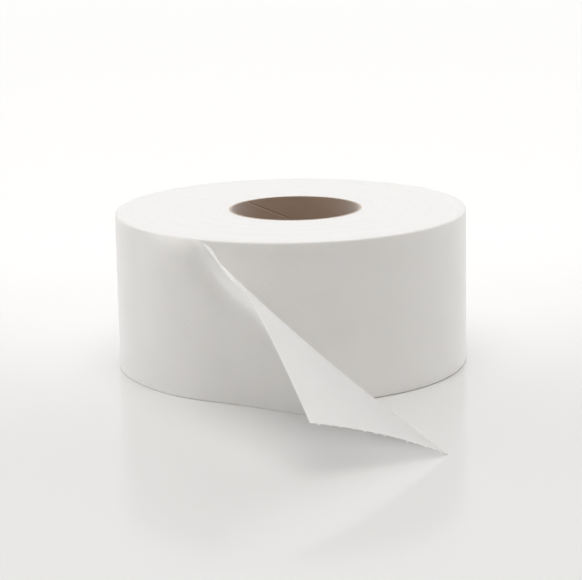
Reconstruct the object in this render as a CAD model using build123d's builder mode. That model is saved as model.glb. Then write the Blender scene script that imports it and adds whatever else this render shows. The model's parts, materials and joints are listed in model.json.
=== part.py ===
"""A large toilet paper roll, standing on its end, with its loose end folded over."""
from math import cos, exp, radians, sin
import os

from build123d import *

os.makedirs("parts", exist_ok=True)

# The wound roll. Its outside sits a little to one side of the core, as it does where the winding is uneven.
roll_diameter = 208.0
paper_width = 92.0
wind_offset = 2.8

# The cardboard core, cut to length together with the paper.
core_bore = 76.2
core_wall = 1.4

# The turns, seen on both end faces as bunches with a shallow furrow between each two.
furrow_width = 1.6
furrow_depth = 0.5
furrow_place_shares = (0.05, 0.14, 0.27, 0.36, 0.49, 0.57, 0.70, 0.79, 0.92)

# The loose end. Angles are in degrees, and lengths are measured on the paper laid flat.
web_thickness = 0.4
root_depth = 0.6
leave_angle = 233.2
tail_length = 186.2
tear_skew = 5.2
hinge_pitch = 1.0

# The lower edge first follows the roll, then straightens, then turns outwards.
follow_length = 16.0
follow_turn = 8.0
straighten_length = 100.0
straighten_turn = -18.9
outward_turn = -30.0

# The fold over the diagonal: its whole turn, the length of top edge that it mostly takes, and how far the
# paper bellies out at the fold and lifts at the tear.
fold_turn = -40.0
fold_reach = 29.0
fold_belly = 4.8
tear_lift = 3.0

# Lines across the loose end, and points along each line.
follow_lines = 4
straighten_lines = 5
outward_lines = 8
fold_lines = 24
line_points = 5
fold_spacing_power = 1.5

# The stubs of paper left between the perforations along the tear.
tab_width = 1.6
tab_reach = 1.3
tab_root = 0.8
tab_thickness = 0.3
tab_place_shares = (0.06, 0.12, 0.19, 0.27, 0.33, 0.41, 0.50, 0.56, 0.64, 0.71, 0.80, 0.87, 0.95)

roll_radius = roll_diameter / 2
core_radius = core_bore / 2 + core_wall
roll_axis = Vector(-wind_offset, 0, 0)
low_height = web_thickness / 2
top_height = paper_width - web_thickness / 2


def fold_share(run):
    """The share of the fold's turn that the top edge has taken after this much of its length."""
    return 1 - (1 + run / fold_reach) * exp(-run / fold_reach)


def paper_hinges():
    """Hinge lines across the flat loose end: run of the lower edge, run of the top edge, turn, belly."""
    straight_end = follow_length + straighten_length
    fold_start = tail_length - hinge_pitch
    stretches = (
        (0.0, follow_length, follow_turn, follow_lines),
        (follow_length, straight_end, straighten_turn, straighten_lines),
        (straight_end, fold_start, outward_turn, outward_lines),
    )
    standing_lines = follow_lines + straighten_lines + outward_lines
    hinges = []
    for start, end, turn, count in stretches:
        for step in range(1, count + 1):
            low_run = start + (end - start) * step / count
            top_run = hinge_pitch * (len(hinges) + 1) / standing_lines
            hinges.append((low_run, top_run, turn / count, fold_belly * (low_run / tail_length) ** 2))

    top_end = tail_length + tear_skew
    taken = 0.0
    for step in range(1, fold_lines + 1):
        share = (step / fold_lines) ** fold_spacing_power
        top_run = hinge_pitch + (top_end - hinge_pitch) * share
        low_run = fold_start + hinge_pitch * share
        now_taken = fold_share(top_run) / fold_share(top_end)
        belly = fold_belly - (fold_belly + tear_lift) * share
        hinges.append((low_run, top_run, fold_turn * (now_taken - taken), belly))
        taken = now_taken
    return hinges


def paper_lines():
    """The same lines in space: lower point, top point, outward normal and belly, found by bending in turn."""
    outward = Vector(cos(radians(leave_angle)), sin(radians(leave_angle)), 0)
    corner = roll_axis + outward * (roll_radius - root_depth)
    up = Vector(0, 0, 1)
    along = up.cross(outward)
    hinges = paper_hinges()
    root_belly = hinges[0][-1]
    lines = [(corner + up * low_height, corner + up * top_height, outward, root_belly)]
    for low_run, top_run, turn, belly in hinges:
        low = corner + along * low_run
        top = corner + along * top_run + up * top_height
        hinge = Axis((0, 0, 0), top - low)
        normal = along.cross(up)
        corner = low + (corner - low).rotate(hinge, turn)
        along = along.rotate(hinge, turn)
        up = up.rotate(hinge, turn)
        normal = (normal + along.cross(up)).normalized()
        lines.append((Vector(low.X, low.Y, low_height), top, normal, belly))
    return lines


def belly_at(share, belly):
    """How far the paper stands off the straight line at this share of the line."""
    return belly * 4 * share * (1 - share)


def line_plane(low, top, normal):
    """A plane with its X along a line and its Y out of the paper."""
    line = top - low
    return Plane(origin=low, x_dir=line, z_dir=line.cross(normal))


# The loose end as one thin sheet, ruled from line to line.
lines = paper_lines()
shares = [step / (line_points - 1) for step in range(line_points)]
with BuildPart() as loose_end:
    for low, top, normal, belly in lines:
        length = (top - low).length
        outer_side = [(length * share, belly_at(share, belly) + web_thickness / 2) for share in shares]
        inner_side = [(length * share, belly_at(share, belly) - web_thickness / 2) for share in reversed(shares)]
        with BuildSketch(line_plane(low, top, normal)):
            with BuildLine():
                Polyline(*outer_side, *inner_side, close=True)
            make_face()
    loft(ruled=True)

    # The stubs between the perforations.
    low, top, normal, belly = lines[-1]
    line = top - low
    for share in tab_place_shares:
        point = low + line * share + normal * belly_at(share, belly)
        with Locations(Plane(origin=point, x_dir=line, z_dir=normal)):
            with Locations((0, -(tab_reach - tab_root) / 2)):
                Box(tab_width, tab_reach + tab_root, tab_thickness)

# The paper: all the wound turns, with the furrows between their bunches, and the loose end.
with BuildPart() as paper_roll:
    with BuildSketch():
        with Locations((-wind_offset, 0)):
            Circle(roll_radius)
        Circle(core_radius, mode=Mode.SUBTRACT)
    extrude(amount=paper_width)
    with BuildSketch(Plane.XZ):
        for share in furrow_place_shares:
            centre = core_radius + (roll_radius - core_radius) * share
            for face_height, depth in ((0.0, furrow_depth), (paper_width, -furrow_depth)):
                with BuildLine():
                    Polyline(
                        (centre - furrow_width / 2, face_height),
                        (centre, face_height + depth),
                        (centre + furrow_width / 2, face_height),
                        close=True,
                    )
                make_face()
    revolve(axis=Axis.Z, mode=Mode.SUBTRACT)
    add(loose_end.part)

# The core: a plain tube of wound board.
with BuildPart() as core_tube:
    with BuildSketch():
        Circle(core_radius)
        Circle(core_bore / 2, mode=Mode.SUBTRACT)
    extrude(amount=paper_width)

paper_roll.part.label = "paper_roll"
core_tube.part.label = "core_tube"
export_step(paper_roll.part, "parts/paper_roll.step")
export_step(core_tube.part, "parts/core_tube.step")
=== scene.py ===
"""A large toilet paper roll, standing on its end, with its loose end folded over on a soft diagonal."""
import json
from math import atan2, cos, exp, hypot, pi, radians, sin, tau

import bmesh
import bpy
from mathutils import Matrix, Vector, noise


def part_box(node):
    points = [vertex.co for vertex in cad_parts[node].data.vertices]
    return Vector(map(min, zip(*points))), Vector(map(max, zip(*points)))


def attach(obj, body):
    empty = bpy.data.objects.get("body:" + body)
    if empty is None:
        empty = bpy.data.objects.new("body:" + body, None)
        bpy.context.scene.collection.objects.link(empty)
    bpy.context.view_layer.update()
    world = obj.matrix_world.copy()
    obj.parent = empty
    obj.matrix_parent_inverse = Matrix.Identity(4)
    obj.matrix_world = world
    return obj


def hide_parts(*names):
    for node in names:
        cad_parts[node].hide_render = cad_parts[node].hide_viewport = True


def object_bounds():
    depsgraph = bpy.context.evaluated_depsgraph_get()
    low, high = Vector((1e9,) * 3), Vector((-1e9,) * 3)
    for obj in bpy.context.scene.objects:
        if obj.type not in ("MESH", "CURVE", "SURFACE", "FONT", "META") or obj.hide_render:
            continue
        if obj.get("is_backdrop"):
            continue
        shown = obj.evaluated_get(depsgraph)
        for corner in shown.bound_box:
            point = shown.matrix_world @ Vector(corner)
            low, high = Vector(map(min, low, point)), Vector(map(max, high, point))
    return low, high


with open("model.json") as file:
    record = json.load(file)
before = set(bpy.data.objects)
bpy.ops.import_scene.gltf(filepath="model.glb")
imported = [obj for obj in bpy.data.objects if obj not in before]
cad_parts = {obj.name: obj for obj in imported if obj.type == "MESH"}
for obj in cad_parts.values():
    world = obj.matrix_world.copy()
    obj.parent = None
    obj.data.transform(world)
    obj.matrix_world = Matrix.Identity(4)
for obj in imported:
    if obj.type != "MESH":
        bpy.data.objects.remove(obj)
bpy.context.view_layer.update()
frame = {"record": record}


# The core: a plain tube of brown board, glued up from plies that are wound in a spiral, and sawn to length
# together with the paper. Its inner ply meets itself in a shallow seam, and the saw leaves the ends paler.

def seen_angle(corner, middle_angle):
    """A corner's angle about the upright axis, within half a turn of middle_angle."""
    angle = atan2(corner.y, corner.x)
    return angle + tau * round((middle_angle - angle) / tau)


class Shade:
    """One output of a node. Operators add Math nodes, and node() adds any other node to the same tree."""

    def __init__(self, tree, socket=None):
        self.tree = tree
        self.socket = socket

    def node(self, kind, settings=(), inputs=(), output=0):
        """An output of a new node, whose settings are set first, then the values or links of its inputs."""
        made = self.tree.nodes.new(kind)
        for name, value in dict(settings).items():
            setattr(made, name, value)
        for name, value in dict(inputs).items():
            if isinstance(value, Shade):
                self.tree.links.new(value.socket, made.inputs[name])
            else:
                made.inputs[name].default_value = value
        return Shade(self.tree, made.outputs[output])

    def math(self, operation, *values):
        return self.node("ShaderNodeMath", {"operation": operation}, dict(enumerate(values)))

    def __add__(self, other):
        return self.math("ADD", self, other)

    def __radd__(self, other):
        return self.math("ADD", other, self)

    def __sub__(self, other):
        return self.math("SUBTRACT", self, other)

    def __rsub__(self, other):
        return self.math("SUBTRACT", other, self)

    def __mul__(self, other):
        return self.math("MULTIPLY", self, other)

    def __rmul__(self, other):
        return self.math("MULTIPLY", other, self)

    def part(self, axis):
        """The X, Y or Z of this place."""
        return self.node("ShaderNodeSeparateXYZ", {}, {"Vector": self}, axis)

    def plain(self, value):
        """One plain colour."""
        made = self.node("ShaderNodeRGB")
        made.socket.default_value = value
        return made

    def between(self, low, high):
        """0 up to low, 1 from high on, and a smooth step between them."""
        values = {"Value": self, "From Min": low, "From Max": high}
        return self.node("ShaderNodeMapRange", {"interpolation_type": "SMOOTHSTEP"}, values)

    def mix(self, other, share):
        """This colour, and other where share is 1."""
        return self.node("ShaderNodeMix", {"data_type": "RGBA"}, {0: share, 6: self, 7: other}, 2)

    def stretched(self, along, across, turn=0.0):
        """This place, turned, then with lengths times along and times across."""
        scale = (along, across, along)
        return self.node("ShaderNodeMapping", {}, {"Vector": self, "Rotation": (0, 0, turn), "Scale": scale})

    def grain(self, scale, detail=3.0, roughness=0.6):
        """Soft noise at this place, from 0 to 1."""
        values = {"Vector": self, "Scale": scale, "Detail": detail, "Roughness": roughness}
        return self.node("ShaderNodeTexNoise", {}, values)


def new_material(name):
    """A material with one Principled shader, and a Shade to start its nodes from."""
    material = bpy.data.materials.new(name)
    material.use_nodes = True
    shader = material.node_tree.nodes["Principled BSDF"]
    return material, shader, Shade(material.node_tree)


def finish_with(shader, colour, roughness, relief, depth):
    """Sets a shader's varying colour and roughness, and its bump of this depth in metres."""
    links = shader.id_data.links
    links.new(colour.socket, shader.inputs["Base Color"])
    links.new(roughness.socket, shader.inputs["Roughness"])
    bumped = relief.node("ShaderNodeBump", {}, {"Height": relief, "Distance": depth})
    links.new(bumped.socket, shader.inputs["Normal"])


def new_piece(name, bm, materials):
    """A shaded object at the origin from a bmesh, which is freed. Edges past 45 degrees stay crisp."""
    mesh = bpy.data.meshes.new(name)
    bm.to_mesh(mesh)
    bm.free()
    for material in materials:
        mesh.materials.append(material)
    mesh.shade_smooth()
    mesh.set_sharp_from_angle(angle=pi / 4)
    piece = bpy.data.objects.new(name, mesh)
    bpy.context.scene.collection.objects.link(piece)
    return piece


def spun_ring(outline, start_angle, steps):
    """A closed ring: a closed outline of radii and heights, spun once round the upright axis."""
    bm = bmesh.new()
    direction = Vector((cos(start_angle), sin(start_angle), 0))
    corners = [bm.verts.new(direction * radius + Vector((0, 0, height))) for radius, height in outline]
    edges = [bm.edges.new(pair) for pair in zip(corners, corners[1:] + corners[:1])]
    bmesh.ops.spin(
        bm, geom=corners + edges, cent=(0, 0, 0), axis=(0, 0, 1), angle=tau, steps=steps, use_merge=True
    )
    bmesh.ops.recalc_face_normals(bm, faces=bm.faces)
    return bm


core_low, core_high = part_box("core_tube")
core_length = core_high.z - core_low.z
core_radius = (core_high.x - core_low.x) / 2
bore_mount = next(mount for mount in frame["record"]["mounts"] if mount["name"] == "core_bore")
bore_radius = bore_mount["dims"]["r_mm"] / 1000

board_wall = core_radius - bore_radius
board_ply_shares = (1 / 3, 2 / 3)
board_joint_share = 0.03
board_joint_depth = 0.00015
board_steps_round = 200
board_steps_up = 46
board_turn = radians(300)
seam_depth = 0.0003
seam_start = radians(200)
seam_half_width = radians(1.3)
level_enough = 0.5

board_brown = (0.40, 0.28, 0.204, 1)
board_dark = (0.31, 0.21, 0.15, 1)
board_fleck = (0.58, 0.47, 0.38, 1)
board_cut = (0.62, 0.53, 0.45, 1)
board_fibre_rates = (160, 1500)
board_fibre_turn = radians(-25)
board_fibre_share = 0.3
board_cloud_rate = 55
board_cloud_share = 0.25
board_fleck_rate = 2600
board_fleck_share = 0.5
board_fleck_relief_share = 0.4
board_relief = 0.00004
sawn_fuzz_rate = 2400
sawn_fuzz_share = 0.6
sawn_relief = 0.00012

sawn_end = [(0.0, 0.0)]
for share in board_ply_shares:
    joint_start = share - board_joint_share
    joint_end = share + board_joint_share
    sawn_end += [(joint_start, 0.0), (share, board_joint_depth), (joint_end, 0.0)]
sawn_end.append((1.0, 0.0))
heights = [core_length * step / board_steps_up for step in range(1, board_steps_up)]
outline = [(bore_radius + board_wall * share, sunk) for share, sunk in reversed(sawn_end)]
outline += [(bore_radius, height) for height in heights]
outline += [(bore_radius + board_wall * share, core_length - sunk) for share, sunk in sawn_end]
outline += [(core_radius, height) for height in reversed(heights)]
bm = spun_ring(outline, seam_start, board_steps_round)
unrolled = bm.loops.layers.uv.new("unrolled")
for face in bm.faces:
    face.material_index = 1 if abs(face.normal.z) > level_enough else 0
    middle = face.calc_center_median()
    middle_angle = atan2(middle.y, middle.x)
    for loop in face.loops:
        angle = seen_angle(loop.vert.co, middle_angle)
        loop[unrolled].uv = (angle * bore_radius, loop.vert.co.z)
for vert in bm.verts:
    radius = hypot(vert.co.x, vert.co.y)
    off_seam = abs(seen_angle(vert.co, seam_start) - seam_start)
    if radius < bore_radius + seam_depth / 2 and off_seam < seam_half_width:
        vert.co += Vector((vert.co.x, vert.co.y, 0)) * seam_depth / radius
    vert.co.rotate(Matrix.Rotation(board_turn * vert.co.z / core_length, 3, "Z"))

board_face, shader, board = new_material("brown_board")
place = board.node("ShaderNodeUVMap", {"uv_map": "unrolled"})
fibres = place.stretched(*board_fibre_rates, board_fibre_turn).grain(1.0, detail=4.0, roughness=0.75)
flecks = place.grain(board_fleck_rate, detail=2.0).between(0.62, 0.72)
cloud = place.grain(board_cloud_rate)
darker = board_fibre_share * fibres.between(0.45, 0.8) + board_cloud_share * cloud.between(0.4, 0.7)
colour = board.plain(board_brown).mix(board_dark, darker).mix(board_fleck, board_fleck_share * flecks)
relief = fibres + board_fleck_relief_share * flecks
finish_with(shader, colour, roughness=0.72 + 0.2 * fibres, relief=relief, depth=board_relief)
shader.inputs["Sheen Weight"].default_value = 1.0
shader.inputs["Sheen Roughness"].default_value = 0.55

board_end, shader, board = new_material("sawn_board")
place = board.node("ShaderNodeTexCoord", {}, {}, "Object")
fuzz = place.grain(sawn_fuzz_rate, detail=4.0)
colour = board.plain(board_cut).mix(board_brown, sawn_fuzz_share * fuzz.between(0.45, 0.7))
finish_with(shader, colour, roughness=0.8 + 0.15 * fuzz, relief=fuzz, depth=sawn_relief)

core = new_piece("spiral_core", bm, [board_face, board_end])
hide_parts("core_tube")
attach(core, "root")


# The wound paper: some two hundred metres of soft two-ply tissue on the core. On the end faces the cut edges
# of its turns show as fine rings in uneven bunches. Its side grows by one sheet's thickness in a turn, up to
# the place where the loose end takes over.

paper_low, paper_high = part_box("paper_roll")
paper_width = paper_high.z - paper_low.z
wind_offset = 0.0028
roll_radius = paper_high.x + wind_offset
roll_axis = Vector((-wind_offset, 0, 0))
web_thickness = 0.00022
leave_angle = radians(233.2)
wrap_length = 0.088
step_angle = leave_angle - wrap_length / roll_radius
step_slack = 0.0001
rim_radius = 0.0013
rim_steps = 4
roll_steps_round = 288
roll_steps_up = 18

ring_pitch = 0.00062
ring_unevenness = 0.00011
ring_noise_rate = 0.9
ring_noise_place = 0.5
ring_noise_gap = 7.3
bunch_width = 0.0062
bunch_unevenness = 0.0003
bunch_noise_place = 2.5
bunch_noise_gap = 3.1
wall_unevenness = 0.00022
wall_noise_round = 3.1
wall_noise_up = 1.9
wall_fade_power = 8

tissue_white = (0.865, 0.857, 0.846, 1)
tissue_shade = (0.82, 0.81, 0.796, 1)
# A lighter colour for where the loose sheet lies open: painted light, not a whiter paper.
tissue_painted_light = (0.95, 0.947, 0.942, 1)
tissue_glow = (0.98, 0.978, 0.974, 1)
crepe_rates = (2600, 420)
tissue_fibre_rate = 1500
tissue_fibre_share = 0.3
tissue_fibre_relief_share = 0.5
tissue_cloud_rate = 38
tissue_cloud_share = 0.35
emboss_rate = 330
emboss_turn = pi / 4
emboss_slope = (0.16, 0.34)
emboss_relief_share = 0.55
tissue_relief = 0.00007
tissue_shine = 0.25
tissue_spread = 0.00016
tissue_spread_shares = (1.0, 0.95, 0.9)
sheet_clearness = 0.84
cut_white = (0.80, 0.80, 0.80, 1)
cut_shade = (0.73, 0.73, 0.73, 1)
cut_turn_rates = (22, 3800)
cut_turn_share = 0.5
cut_bunch_rates = (9, 420)
cut_bunch_share = 0.35
cut_bunch_relief_share = 0.5
cut_fuzz_rate = 2100
cut_fuzz_relief_share = 0.6
cut_relief = 0.00008
cut_shine = 0.2


def end_sag(radius, face):
    """How far the turns at this radius sit in from end face 0 or 1: fine rings on broad uneven bunches."""
    pitches = radius / ring_pitch * ring_noise_rate
    fine = noise.noise(Vector((pitches, face * ring_noise_gap, ring_noise_place)))
    bunch = noise.noise(Vector((radius / bunch_width, face * bunch_noise_gap, bunch_noise_place)))
    return ring_unevenness * (1 + fine) / 2 + bunch_unevenness * max(0, bunch)


def turn_share(angle):
    """How much of a turn the side has still to grow at this angle. A corner right on the step is past it."""
    return ((step_angle - step_slack - angle) % tau) / tau


wound_depth = roll_radius - rim_radius - core_radius
ring_count = round(wound_depth / ring_pitch)
ring_radii = [core_radius + wound_depth * step / ring_count for step in range(ring_count + 1)]
rim_angles = [pi / 2 * step / rim_steps for step in range(rim_steps + 1)]
rim_middle = roll_radius - rim_radius
outline = [(radius, end_sag(radius, 0)) for radius in ring_radii]
for angle in rim_angles[1:]:
    outline.append((rim_middle + rim_radius * sin(angle), rim_radius * (1 - cos(angle))))
for step in range(1, roll_steps_up):
    outline.append((roll_radius, rim_radius + (paper_width - 2 * rim_radius) * step / roll_steps_up))
for angle in rim_angles[:-1]:
    outline.append((rim_middle + rim_radius * cos(angle), paper_width - rim_radius * (1 - sin(angle))))
outline += [(radius, paper_width - end_sag(radius, 1)) for radius in reversed(ring_radii)]
bm = spun_ring(outline, step_angle, roll_steps_round)
unrolled = bm.loops.layers.uv.new("unrolled")
for face in bm.faces:
    middle = face.calc_center_median()
    middle_angle = atan2(middle.y, middle.x)
    on_wall = hypot(middle.x, middle.y) > rim_middle
    face.material_index = 0 if on_wall else 1
    for loop in face.loops:
        corner = loop.vert.co
        angle = seen_angle(corner, middle_angle)
        across = corner.z if on_wall else hypot(corner.x, corner.y)
        loop[unrolled].uv = ((angle - leave_angle) * roll_radius, across)
for vert in bm.verts:
    radius = hypot(vert.co.x, vert.co.y)
    out = (radius - core_radius) / (roll_radius - core_radius)
    angle = atan2(vert.co.y, vert.co.x)
    level = vert.co.z / paper_width
    round_x = cos(angle) * wall_noise_round
    round_y = sin(angle) * wall_noise_round
    dent = noise.noise(Vector((round_x, round_y, level * wall_noise_up)))
    drop = web_thickness * turn_share(angle) + wall_unevenness * max(0, dent)
    vert.co -= Vector((cos(angle), sin(angle), 0)) * drop * max(0, out) ** wall_fade_power
    vert.co += roll_axis * max(0, min(1, out))


def soften(shader, shine):
    """Lets light spread a little way inside the paper, and sets how much its surface shines."""
    shader.inputs["Specular IOR Level"].default_value = shine
    shader.inputs["Subsurface Weight"].default_value = 1.0
    shader.inputs["Subsurface Radius"].default_value = tissue_spread_shares
    shader.inputs["Subsurface Scale"].default_value = tissue_spread


def tissue(name, openness=None):
    """
    Soft creped two-ply tissue with a light emboss of small dots, mapped in metres along and across the web.
    A single sheet lets light through, as far as openness gives it at each place, and there its colour is
    also painted lighter, a painted highlight.
    """
    material, shader, paper = new_material(name)
    place = paper.node("ShaderNodeUVMap", {"uv_map": "unrolled"})
    crepe = place.stretched(*crepe_rates).grain(1.0)
    fibres = place.grain(tissue_fibre_rate, detail=4.0, roughness=0.7)
    cloud = place.grain(tissue_cloud_rate, detail=2.0)
    cells = place.stretched(emboss_rate, emboss_rate, emboss_turn)
    even = {"Vector": cells, "Scale": 1.0, "Randomness": 0.0}
    dots = paper.node("ShaderNodeTexVoronoi", {"voronoi_dimensions": "2D"}, even)
    emboss = dots.between(*emboss_slope)
    darker = tissue_cloud_share * cloud.between(0.35, 0.75) + tissue_fibre_share * fibres.between(0.5, 0.8)
    colour = paper.plain(tissue_white).mix(tissue_shade, darker)
    # Where the sheet lies open its colour is painted lighter: a painted highlight on the flap, beside the
    # real light let through below.
    if openness:
        clear_and_painted_light = openness(place)
        colour = colour.mix(tissue_painted_light, clear_and_painted_light)
    relief = crepe + tissue_fibre_relief_share * fibres + emboss_relief_share * emboss
    finish_with(shader, colour, roughness=0.82 + 0.15 * crepe, relief=relief, depth=tissue_relief)
    soften(shader, tissue_shine)
    shader.inputs["Sheen Weight"].default_value = 1.0
    shader.inputs["Sheen Roughness"].default_value = 0.5
    if openness:
        through = paper.node("ShaderNodeBsdfTranslucent", {}, {"Color": tissue_glow})
        solid = Shade(paper.tree, shader.outputs["BSDF"])
        both = paper.node("ShaderNodeMixShader", {}, {0: sheet_clearness * clear_and_painted_light, 1: solid, 2: through})
        finish = material.node_tree.nodes["Material Output"]
        material.node_tree.links.new(both.socket, finish.inputs["Surface"])
    return material


tissue_wall = tissue("tissue")

tissue_ends, shader, paper = new_material("cut_turns")
place = paper.node("ShaderNodeUVMap", {"uv_map": "unrolled"})
turns = place.stretched(*cut_turn_rates).grain(1.0, detail=2.0)
bunches = place.stretched(*cut_bunch_rates).grain(1.0)
fuzz = paper.node("ShaderNodeTexCoord", {}, {}, "Object").grain(cut_fuzz_rate)
darker = cut_turn_share * turns.between(0.4, 0.75) + cut_bunch_share * bunches.between(0.45, 0.8)
colour = paper.plain(cut_white).mix(cut_shade, darker)
relief = turns + cut_fuzz_relief_share * fuzz + cut_bunch_relief_share * bunches
finish_with(shader, colour, roughness=0.85 + 0.12 * fuzz, relief=relief, depth=cut_relief)
soften(shader, cut_shine)

roll = new_piece("wound_paper", bm, [tissue_wall, tissue_ends])
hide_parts("paper_roll")
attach(roll, "root")


# The loose end: the last stretch of the same web. It leaves the roll's side and stands on its lower edge.
# Its upper corner has dropped outwards, so it bends over a soft diagonal and lies open to its torn end,
# where the perforation's bonds have left stubs.

tail_length = 0.1862
tear_skew = 0.0052
hinge_pitch = 0.001
follow_length = 0.016
follow_turn = radians(8.0)
straighten_length = 0.1
straighten_turn = radians(-18.9)
outward_turn = radians(-30.0)
fold_turn = radians(-40.0)
fold_reach = 0.029
fold_belly = 0.0048
tear_lift = 0.003
root_depth = 0.0006
follow_lines = 4
straighten_lines = 5
outward_lines = 8
fold_lines = 24
fold_spacing_power = 1.5
columns_between = 4
wrap_columns = 56
points_across = 184

leave_start = -0.004
leave_blend = 0.050
rest_softness = 0.0002
tuck_depth = 0.00006
tuck_length = 0.004
crest_start = 0.014
crest_slope = 0.5
lean_start = -0.042
lean_full = -0.002
lean_fade = 0.016
lean_end = 0.075
lean_height = 0.0046
lean_width = 0.004
lean_spread = 0.14
clear_start = 0.03
clear_before_crest = 0.03
clear_past_crest = 0.01
standing_clear_share = 0.1

bond_place_shares = (0.06, 0.12, 0.19, 0.27, 0.33, 0.41, 0.50, 0.56, 0.64, 0.71, 0.80, 0.87, 0.95)
bond_width = 0.0021
bond_reach = 0.0013
bond_mean_share = 0.6
bond_spread_share = 1.3
bond_least_share = 0.2
bond_noise_step = 1.7
bond_noise_places = (0.4, 5.0)
bond_taper = 0.3
bond_lift = 0.0002
bond_stray_rate = 900
bond_stray_share = 0.5
bond_steps = 3
tear_raggedness = 0.00025
tear_noise_rates = (40, 130)
tear_noise_places = (3.0, 5.0)

low_height = web_thickness / 2
top_height = paper_width - web_thickness / 2


def bow(share):
    """A bow from edge to edge: 0 on both edges, and 1 half-way."""
    return 4 * share * (1 - share)


def fold_share(run):
    """The share of the fold's turn that the top edge has taken after this much of its length."""
    return 1 - (1 + run / fold_reach) * exp(-run / fold_reach)


def paper_hinges():
    """Lines that the flat sheet bends on: run of the lower edge, run of the top edge, turn, belly."""
    straight_end = follow_length + straighten_length
    fold_start = tail_length - hinge_pitch
    stretches = (
        (0.0, follow_length, follow_turn, follow_lines),
        (follow_length, straight_end, straighten_turn, straighten_lines),
        (straight_end, fold_start, outward_turn, outward_lines),
    )
    standing_lines = follow_lines + straighten_lines + outward_lines
    hinges = []
    for start, end, turn, count in stretches:
        for step in range(1, count + 1):
            low_run = start + (end - start) * step / count
            top_run = hinge_pitch * (len(hinges) + 1) / standing_lines
            hinges.append((low_run, top_run, turn / count, fold_belly * (low_run / tail_length) ** 2))
    top_end = tail_length + tear_skew
    taken = 0.0
    for step in range(1, fold_lines + 1):
        share = (step / fold_lines) ** fold_spacing_power
        top_run = hinge_pitch + (top_end - hinge_pitch) * share
        low_run = fold_start + hinge_pitch * share
        now_taken = fold_share(top_run) / fold_share(top_end)
        belly = fold_belly - (fold_belly + tear_lift) * share
        hinges.append((low_run, top_run, fold_turn * (now_taken - taken), belly))
        taken = now_taken
    return hinges


outward = Vector((cos(leave_angle), sin(leave_angle), 0))
corner = roll_axis + outward * (roll_radius - root_depth)
up = Vector((0, 0, 1))
along = up.cross(outward)
hinges = paper_hinges()
low = corner + up * low_height
top = corner + up * top_height
lines = [Vector((*low, *top, *outward, hinges[0][3], 0.0, 0.0))]
for low_run, top_run, turn, belly in hinges:
    low = corner + along * low_run
    top = corner + along * top_run + up * top_height
    bend = Matrix.Rotation(turn, 3, top - low)
    normal = along.cross(up)
    corner = low + bend @ (corner - low)
    along = bend @ along
    up = bend @ up
    normal = (normal + along.cross(up)).normalized()
    lines.append(Vector((low.x, low.y, low_height, *top, *normal, belly, low_run, top_run)))


def line_at(place):
    """The line at this place among the lines, on a Catmull-Rom curve: two ends, normal, belly and runs."""
    last = len(lines) - 1
    number = min(int(place), last - 1)
    share = place - number
    before = lines[max(0, number - 1)]
    start = lines[number]
    end = lines[number + 1]
    after = lines[min(last, number + 2)]
    across = before * (2 - share) - start * (5 - 3 * share) + end * (4 - 3 * share) - after * (1 - share)
    values = start + (end - before) * (share / 2) + across * (share * share / 2)
    return Vector(values[0:3]), Vector(values[3:6]), Vector(values[6:9]).normalized(), *values[9:12]


def smooth_step(value):
    """0 below 0, 1 above 1, and a smooth step between them."""
    value = max(0.0, min(1.0, value))
    return value * value * (3 - 2 * value)


def on_roll(run, height):
    """The place on the roll's side of a point this far along the web, and which way is outwards there."""
    angle = leave_angle + run / roll_radius
    out = Vector((cos(angle), sin(angle), 0))
    return roll_axis + out * (roll_radius - web_thickness / 2) + Vector((0, 0, height)), out


def lean(run, height):
    """How far the web bulges out below its fold's crest, where a strip leans back and catches the light."""
    below_crest = max(0, paper_width - height - crest_slope * max(0, run - crest_start))
    grown = smooth_step((run - lean_start) / (lean_full - lean_start))
    left = 1 - smooth_step((run - lean_fade) / (lean_end - lean_fade))
    bulge = (1 - exp(-below_crest / lean_width)) * (1 - smooth_step(below_crest / lean_spread))
    return lean_height * grown * left * bulge


def outside_roll(place):
    """This place, or the nearest one that rests on the roll's side."""
    off_axis = Vector((place.x - roll_axis.x, place.y - roll_axis.y, 0))
    gap = off_axis.length - (roll_radius - web_thickness / 2)
    return place + off_axis.normalized() * ((gap * gap + rest_softness ** 2) ** 0.5 - gap) / 2


bm = bmesh.new()
column_count = wrap_columns + columns_between * (len(lines) - 1)
bmesh.ops.create_grid(bm, x_segments=column_count, y_segments=points_across, size=1.0)
unrolled = bm.loops.layers.uv.new("unrolled")
tear_verts = []
flat = {}
for vert in bm.verts:
    column = round((vert.co.x + 1) / 2 * column_count)
    share = (vert.co.y + 1) / 2
    height = low_height + (top_height - low_height) * share
    if column < wrap_columns:
        run = -wrap_length * (1 - column / wrap_columns)
        vert.co, out = on_roll(run, height)
        tuck = tuck_depth * (1 - smooth_step((run + wrap_length) / tuck_length))
        vert.co += out * (lean(run, height) - tuck)
    else:
        low, top, normal, belly, low_run, top_run = line_at((column - wrap_columns) / columns_between)
        run = low_run + (top_run - low_run) * share
        free = low.lerp(top, share) + normal * belly * bow(share)
        held, out = on_roll(run, height)
        leaving = smooth_step((run - leave_start) / leave_blend)
        facing = out.lerp(normal, leaving)
        vert.co = outside_roll(held.lerp(free, leaving)) + facing * lean(run, height)
        if column == column_count:
            tear_verts.append((share, vert))
    flat[vert] = (run, share * paper_width)

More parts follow.
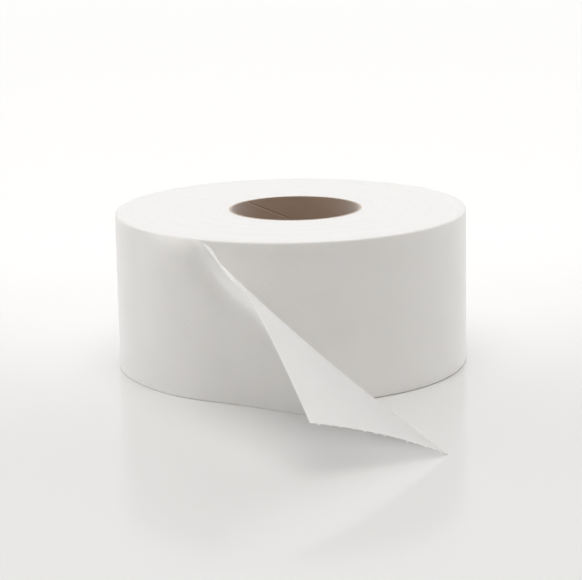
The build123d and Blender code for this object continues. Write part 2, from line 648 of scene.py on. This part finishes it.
# The torn end: cut between the bonds of the perforation, with a ragged stub of fibres left at each bond.
tear_verts.sort(key=lambda pair: pair[0])
tear_low, tear_top, tear_normal, tear_belly = line_at(len(lines) - 1)[:4]
tear_line = (tear_top - tear_low).normalized()
onward = (tear_top - tear_low).cross(tear_normal).normalized()
share_of = {vert: share for share, vert in tear_verts}
for share, vert in tear_verts:
    for rate, noise_place in zip(tear_noise_rates, tear_noise_places):
        ragged = noise.noise(Vector((share * rate, noise_place, 0)))
        vert.co += onward * ragged * tear_raggedness
torn = [vert for share, vert in tear_verts]
tear_edges = [bm.edges.get(pair) for pair in zip(torn, torn[1:])]
for number, place_share in enumerate(bond_place_shares):
    uneven = noise.noise(Vector((number * bond_noise_step, *bond_noise_places)))
    reach = bond_reach * max(bond_least_share, bond_mean_share + bond_spread_share * uneven)
    rooted = [
        edge for edge in tear_edges
        if all(abs(share_of[vert] - place_share) * paper_width < bond_width / 2 for vert in edge.verts)
    ]
    middle = tear_low.lerp(tear_top, place_share) + tear_normal * tear_belly * bow(place_share)
    for step in range(1, bond_steps + 1):
        grown = bmesh.ops.extrude_edge_only(bm, edges=rooted)["geom"]
        rooted = [item for item in grown if isinstance(item, bmesh.types.BMEdge)]
        rooted = [edge for edge in rooted if all(vert in grown for vert in edge.verts)]
        for vert in (item for item in grown if isinstance(item, bmesh.types.BMVert)):
            sideways = tear_line * (vert.co - middle).dot(tear_line)
            stray = noise.noise(vert.co * bond_stray_rate + Vector((number, step, 0)))
            vert.co -= sideways * bond_taper
            vert.co += onward * reach / bond_steps * (1 + bond_stray_share * stray)
            vert.co += tear_normal * bond_lift * stray
            flat[vert] = (tail_length + reach * step / bond_steps, place_share * paper_width)
for face in bm.faces:
    for loop in face.loops:
        loop[unrolled].uv = flat[loop.vert]
bmesh.ops.recalc_face_normals(bm, faces=bm.faces)


def opened(place):
    """How openly the web lies to the light: little where it stands, and fully past its fold's crest. It sets
    how much light passes through, and how much lighter the colour is painted there as painted light.
    """
    along = place.part("X")
    past_crest = along * crest_slope + place.part("Y") - paper_width
    lying = past_crest.between(-clear_before_crest, clear_past_crest)
    return along.between(0, clear_start) * (standing_clear_share + (1 - standing_clear_share) * lying)


single_sheet = tissue("loose_tissue", opened)
loose_end = new_piece("loose_end", bm, [single_sheet])
thickness = loose_end.modifiers.new("thickness", "SOLIDIFY")
thickness.thickness = web_thickness
thickness.offset = 0.0
flow = loose_end.modifiers.new("smooth_flow", "WEIGHTED_NORMAL")
flow.mode = "FACE_AREA"
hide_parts("paper_roll")
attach(loose_end, "root")


# The stage: a glossy white table, its colour painted greyer in front and whiter behind as painted light and
# reflection, in a white studio that is brightest low down behind the roll and warmer on the camera's side, a
# soft lamp overhead, and the camera, a little above the roll's top.

floor_front_painted_shade = (0.745, 0.745, 0.745, 1)
floor_back_painted_light = (0.95, 0.95, 0.95, 1)
floor_painted_shade_end = -0.2
floor_painted_light_start = 0.4
floor_half = 8.0
floor_gap = 0.00005

bm = bmesh.new()
bmesh.ops.create_grid(bm, x_segments=1, y_segments=1, size=floor_half)
floor_finish, shader, table = new_material("white_acrylic")
depth = table.node("ShaderNodeTexCoord", {}, {}, "Object").part("Y")
# The table's colour is painted greyer in front and whiter behind: a painted gradient of light and
# reflection.
colour = table.plain(floor_front_painted_shade).mix(floor_back_painted_light, depth.between(floor_painted_shade_end, floor_painted_light_start))
shader.id_data.links.new(colour.socket, shader.inputs["Base Color"])
shader.inputs["Roughness"].default_value = 0.12
shader.inputs["Specular IOR Level"].default_value = 0.35
floor = new_piece("studio_floor", bm, [floor_finish])
floor.data.transform(Matrix.Translation((0, 0, -floor_gap)))
floor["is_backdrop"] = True

studio_white = (1, 1, 1, 1)
studio_warm = (1, 0.955, 0.89, 1)
white_start = -1
white_full = 0.25
front_glow = 0.32
back_glow = 1.18
back_glow_start = -0.5
back_glow_full = 0.35
left_share = 0.1
overhead_dimming = 0.55
key_height = radians(67)
key_direction = (0, -cos(key_height), sin(key_height))
key_glow = 2.5
key_edge = 0.82
key_core = 0.98

world = bpy.data.worlds.new("white_studio")
bpy.context.scene.world = world
world.use_nodes = True
sky = Shade(world.node_tree)
background = world.node_tree.nodes["Background"]
facing = sky.node("ShaderNodeTexCoord", {}, {}, "Generated")
behind = facing.part("Y") - left_share * facing.part("X")
above = facing.part("Z")
seen = sky.node("ShaderNodeLightPath", {}, {}, "Is Camera Ray")
for ray in ("Is Glossy Ray", "Is Transmission Ray"):
    seen = sky.math("MAXIMUM", seen, sky.node("ShaderNodeLightPath", {}, {}, ray))
key = sky.node("ShaderNodeVectorMath", {"operation": "DOT_PRODUCT"}, {0: facing, 1: key_direction}, "Value")
glow = front_glow + back_glow * behind.between(back_glow_start, back_glow_full)
glow = glow * (1 - overhead_dimming * above.between(0, 1)) + key_glow * key.between(key_edge, key_core)
whiteness = sky.math("MAXIMUM", seen, behind.between(white_start, white_full))
tint = sky.plain(studio_warm).mix(studio_white, whiteness)
strength = seen + (1 - seen) * glow
world.node_tree.links.new(strength.socket, background.inputs["Strength"])
world.node_tree.links.new(tint.socket, background.inputs["Color"])


def softbox(name, place, target, width, height, power):
    """A rectangular lamp at a place, turned to face a target."""
    lamp_data = bpy.data.lights.new(name, "AREA")
    lamp_data.shape = "RECTANGLE"
    lamp_data.size = width
    lamp_data.size_y = height
    lamp_data.energy = power
    lamp = bpy.data.objects.new(name, lamp_data)
    lamp.location = place
    lamp.rotation_euler = (Vector(target) - Vector(place)).to_track_quat("-Z", "Y").to_euler()
    bpy.context.scene.collection.objects.link(lamp)


softbox("overhead_softbox", place=(0, 0.35, 1.0), target=(0, 0, 0), width=0.4, height=0.4, power=0.6)

camera_data = bpy.data.cameras.new("camera")
camera_data.sensor_fit = "HORIZONTAL"
camera_data.sensor_width = 36
camera_data.lens = 134.1
camera = bpy.data.objects.new("camera", camera_data)
camera_place = (-0.0111, -1.2662, 0.3276)
camera_pitch = 0.2218
camera_roll = -0.0170
camera_yaw = 0.0061
camera.matrix_world = (
    Matrix.Translation(camera_place)
    @ Matrix.Rotation(-camera_yaw, 4, "Z")
    @ Matrix.Rotation(pi / 2 - camera_pitch, 4, "X")
    @ Matrix.Rotation(camera_roll, 4, "Z")
)
bpy.context.scene.collection.objects.link(camera)
bpy.context.scene.camera = camera
bpy.context.scene.view_settings.view_transform = "Standard"

low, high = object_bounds()
